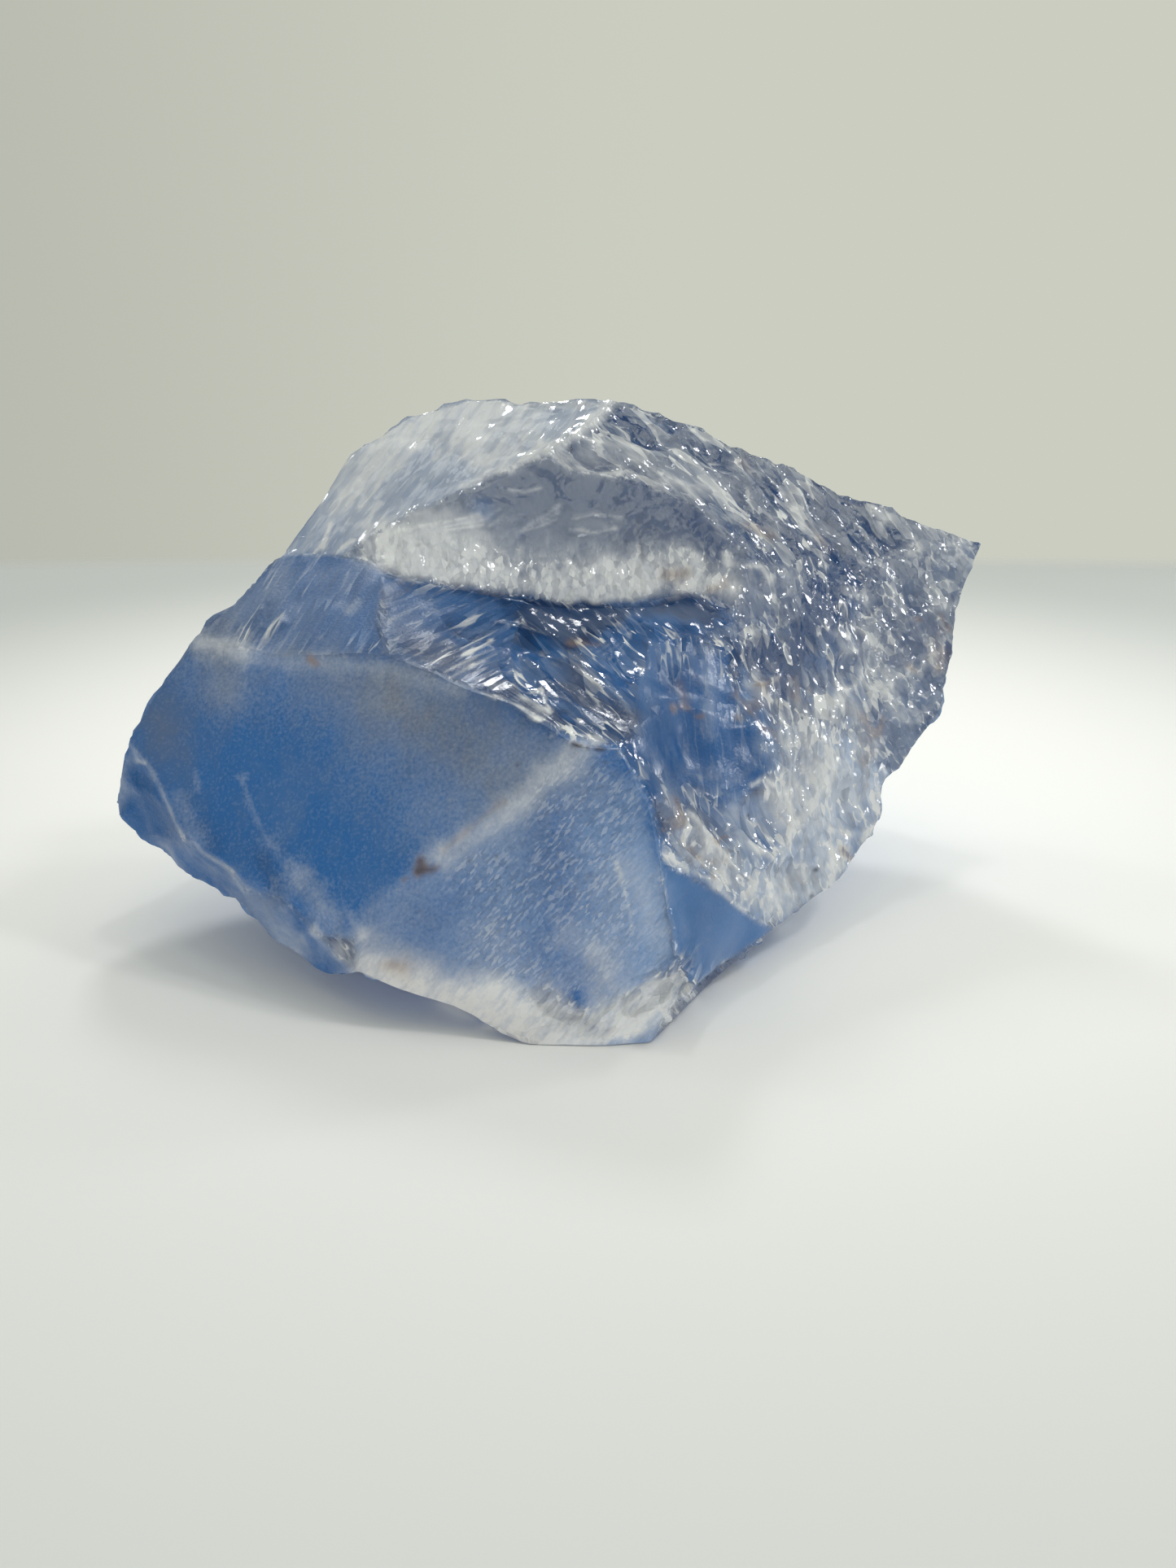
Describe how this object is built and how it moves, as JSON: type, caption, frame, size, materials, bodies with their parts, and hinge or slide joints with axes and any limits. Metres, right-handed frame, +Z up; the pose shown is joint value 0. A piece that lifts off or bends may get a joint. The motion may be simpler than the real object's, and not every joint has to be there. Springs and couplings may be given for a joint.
{
  "type": "rough dumortierite stone",
  "caption": "Rough broken lump of translucent blue dumortierite quartz, with a frosted front, a sharp crest and a hackly side, lying on a flat broken face.",
  "frame": {"origin": "under the middle of the stone's bounding box, on the surface that it rests on", "axes": "+Z up, +X along the stone from its toe to its beak, and the frosted front looks along -Y"},
  "size_m": [0.0328, 0.022, 0.0179],
  "materials": {
    "cloudy_quartz": "translucent, frosted at the front, glassy broken faces elsewhere"
  },
  "bodies": {
    "root": {"dumortierite_stone": "cloudy_quartz"}
  },
  "joints": []
}
